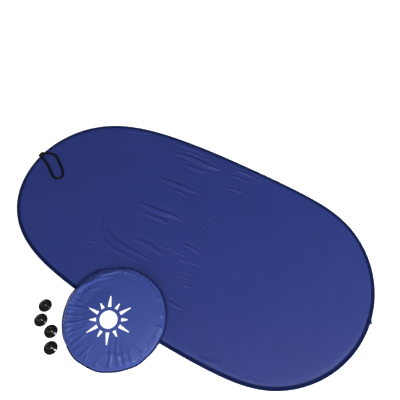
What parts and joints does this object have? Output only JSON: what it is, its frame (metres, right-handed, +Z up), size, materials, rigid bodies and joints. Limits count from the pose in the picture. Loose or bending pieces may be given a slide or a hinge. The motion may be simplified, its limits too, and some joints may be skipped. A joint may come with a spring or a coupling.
{
  "type": "twist-fold sunshade",
  "caption": "Oval twist-fold car sunshade, blue one side and silver the other, with navy bound edge, elastic keeper loop, round pouch and suction cups.",
  "frame": {"origin": "under the middle of the whole kit as it lies on a floor, at floor level", "axes": "+X along the panel's long axis, away from its loop end; +Y across it, away from the pouch; +Z up, out of the blue face"},
  "size_m": [1.0062, 0.6967, 0.025],
  "materials": {
    "blue_cloth": "satin woven polyester",
    "silver_cloth": "aluminium-coated polyester",
    "navy_tape": "woven binding tape",
    "spring_steel": "bare spring wire",
    "black_elastic": "braided elastic",
    "pouch_cloth": "satin woven polyester",
    "black_vinyl": "glossy soft vinyl"
  },
  "bodies": {
    "centre_panel": {"face_cloth_centre": "blue_cloth", "backing_centre": "silver_cloth", "hoop_wire_front": "spring_steel", "hoop_wire_rear": "spring_steel", "binding_front": "navy_tape", "binding_rear": "navy_tape"},
    "left_wing": {"face_cloth_left": "blue_cloth", "backing_left": "silver_cloth", "hoop_wire_left": "spring_steel", "binding_left": "navy_tape", "loop_tack": "black_elastic"},
    "right_wing": {"face_cloth_right": "blue_cloth", "backing_right": "silver_cloth", "hoop_wire_right_front": "spring_steel", "hoop_wire_right_rear": "spring_steel", "hoop_ferrule": "spring_steel", "binding_right": "navy_tape", "binding_end_tab": "navy_tape"},
    "keeper_loop": {"keeper_loop": "black_elastic"},
    "pouch": {"pouch_front": "pouch_cloth", "pouch_back": "pouch_cloth", "pouch_piping": "navy_tape"},
    "suction_cup_1": {"suction_cup_1": "black_vinyl"},
    "suction_cup_2": {"suction_cup_2": "black_vinyl"},
    "suction_cup_3": {"suction_cup_3": "black_vinyl"},
    "suction_cup_4": {"suction_cup_4": "black_vinyl"}
  },
  "joints": [
    {"name": "left_wing_fold", "type": "hinge", "parent": "centre_panel", "child": "left_wing", "pos_m": [-0.2879, 0.07415, 0.007], "axis": [0, 1, 0], "range_deg": [0, 170], "stiffness_Nm_per_rad": 0.15},
    {"name": "right_wing_fold", "type": "hinge", "parent": "centre_panel", "child": "right_wing", "pos_m": [0.2921, 0.07415, 0.007], "axis": [0, -1, 0], "range_deg": [0, 170], "stiffness_Nm_per_rad": 0.15},
    {"name": "keeper_loop_swing", "type": "hinge", "parent": "left_wing", "child": "keeper_loop", "pos_m": [-0.5006, 0.08615, 0.0031], "axis": [0, -1, 0], "range_deg": [0, 175]},
    {"name": "pouch_lift", "type": "slide", "parent": "centre_panel", "child": "pouch", "axis": [0, 0, 1], "range_m": [0, 0.25]},
    {"name": "suction_cup_1_lift", "type": "slide", "parent": "centre_panel", "child": "suction_cup_1", "axis": [0, 0, 1], "range_m": [0, 0.15]},
    {"name": "suction_cup_2_lift", "type": "slide", "parent": "centre_panel", "child": "suction_cup_2", "axis": [0, 0, 1], "range_m": [0, 0.15]},
    {"name": "suction_cup_3_lift", "type": "slide", "parent": "centre_panel", "child": "suction_cup_3", "axis": [0, 0, 1], "range_m": [0, 0.15]},
    {"name": "suction_cup_4_lift", "type": "slide", "parent": "centre_panel", "child": "suction_cup_4", "axis": [0, 0, 1], "range_m": [0, 0.15]}
  ]
}
